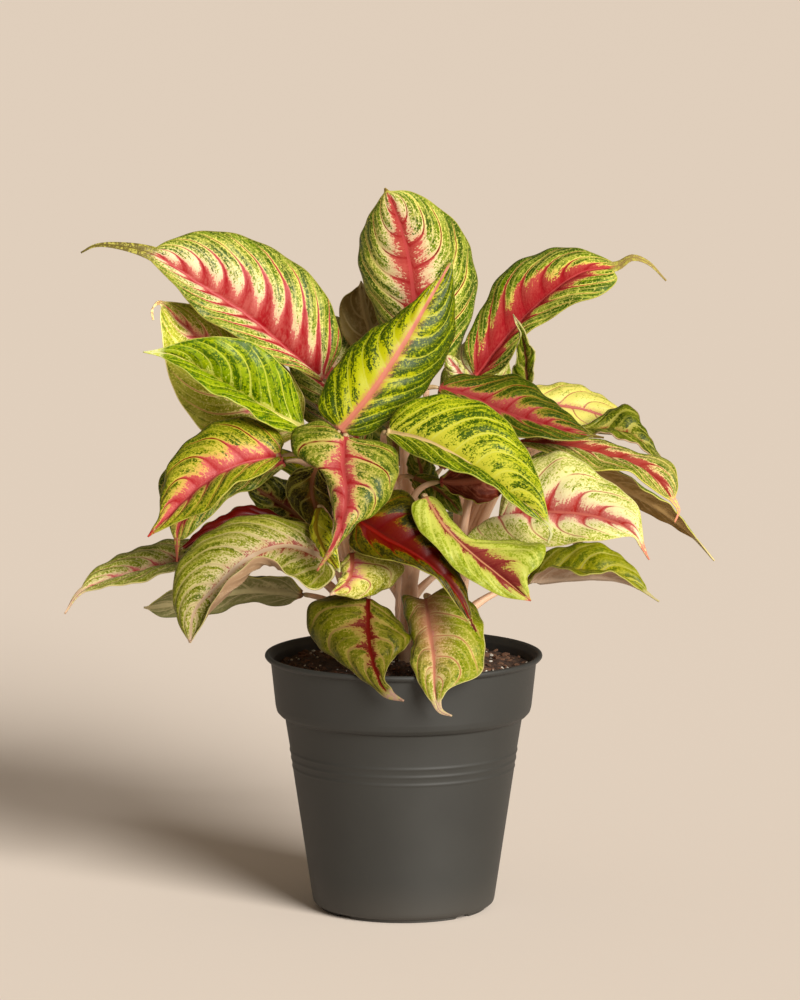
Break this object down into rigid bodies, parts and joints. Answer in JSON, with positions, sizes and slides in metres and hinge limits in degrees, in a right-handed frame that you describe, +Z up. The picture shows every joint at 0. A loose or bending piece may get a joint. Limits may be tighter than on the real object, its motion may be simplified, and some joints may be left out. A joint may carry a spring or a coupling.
{
  "type": "potted chinese evergreen",
  "caption": "Potted chinese evergreen: red, cream and green variegated leaves on pale stalks, standing in the soil of a round dark grey nursery pot with a stepped rim.",
  "frame": {"origin": "centre of the pot's underside, on the surface it stands on", "axes": "+Z up; the side seen in the picture faces -Y; +X to the right of it"},
  "size_m": [0.3988, 0.2703, 0.4426],
  "materials": {
    "pot": "matte dark grey",
    "soil": "rough, loose bark and peat",
    "stalk": "smooth, pale pink",
    "crimson_leaf": "satin, red veined",
    "lime_leaf": "satin, yellow-green",
    "cream_leaf": "satin, cream and green",
    "forest_leaf": "satin, dark green"
  },
  "bodies": {
    "root": {"pot": "pot", "soil": "soil", "shoot_front_left": "stalk", "shoot_front_right": "stalk", "shoot_left": "stalk", "shoot_right": "stalk", "shoot_center": "stalk", "shoot_back": "stalk", "leaf_upper_left": "crimson_leaf", "leaf_top": "crimson_leaf", "leaf_front_high": "lime_leaf", "leaf_upper_right": "crimson_leaf", "leaf_left_bright": "lime_leaf", "leaf_left_back": "cream_leaf", "leaf_young": "forest_leaf", "leaf_left_red": "crimson_leaf", "leaf_left_red_low": "crimson_leaf", "leaf_left_strip": "crimson_leaf", "leaf_left_dark": "forest_leaf", "leaf_left_low_big": "cream_leaf", "leaf_left_low_light": "cream_leaf", "leaf_left_lowest": "forest_leaf", "leaf_center_droop": "crimson_leaf", "leaf_right_yellow": "lime_leaf", "leaf_center_red": "crimson_leaf", "leaf_small_center": "cream_leaf", "leaf_small_strip": "lime_leaf", "leaf_center_dark": "forest_leaf", "leaf_lower_yellow": "lime_leaf", "leaf_center_small_green": "forest_leaf", "leaf_center_small_tall": "forest_leaf", "leaf_right_dark_red": "crimson_leaf", "leaf_right_pale": "cream_leaf", "leaf_right_folded": "forest_leaf", "leaf_right_long": "crimson_leaf", "leaf_right_narrow": "forest_leaf", "leaf_right_cream": "cream_leaf", "leaf_right_low": "forest_leaf", "leaf_right_underside": "crimson_leaf", "leaf_rim_left": "forest_leaf", "leaf_rim_right": "cream_leaf", "leaf_back_brown": "forest_leaf", "leaf_small_white": "cream_leaf", "leaf_back_high": "lime_leaf", "leaf_back_mid_left": "lime_leaf", "leaf_back_mid_right": "crimson_leaf", "leaf_back_upper_left": "crimson_leaf", "leaf_back_upper_right": "cream_leaf", "leaf_back_left": "crimson_leaf", "leaf_back_right": "cream_leaf", "leaf_back_mid": "forest_leaf", "leaf_back_low": "crimson_leaf", "leaf_back_low_left": "lime_leaf", "leaf_back_low_right": "cream_leaf"}
  },
  "joints": []
}
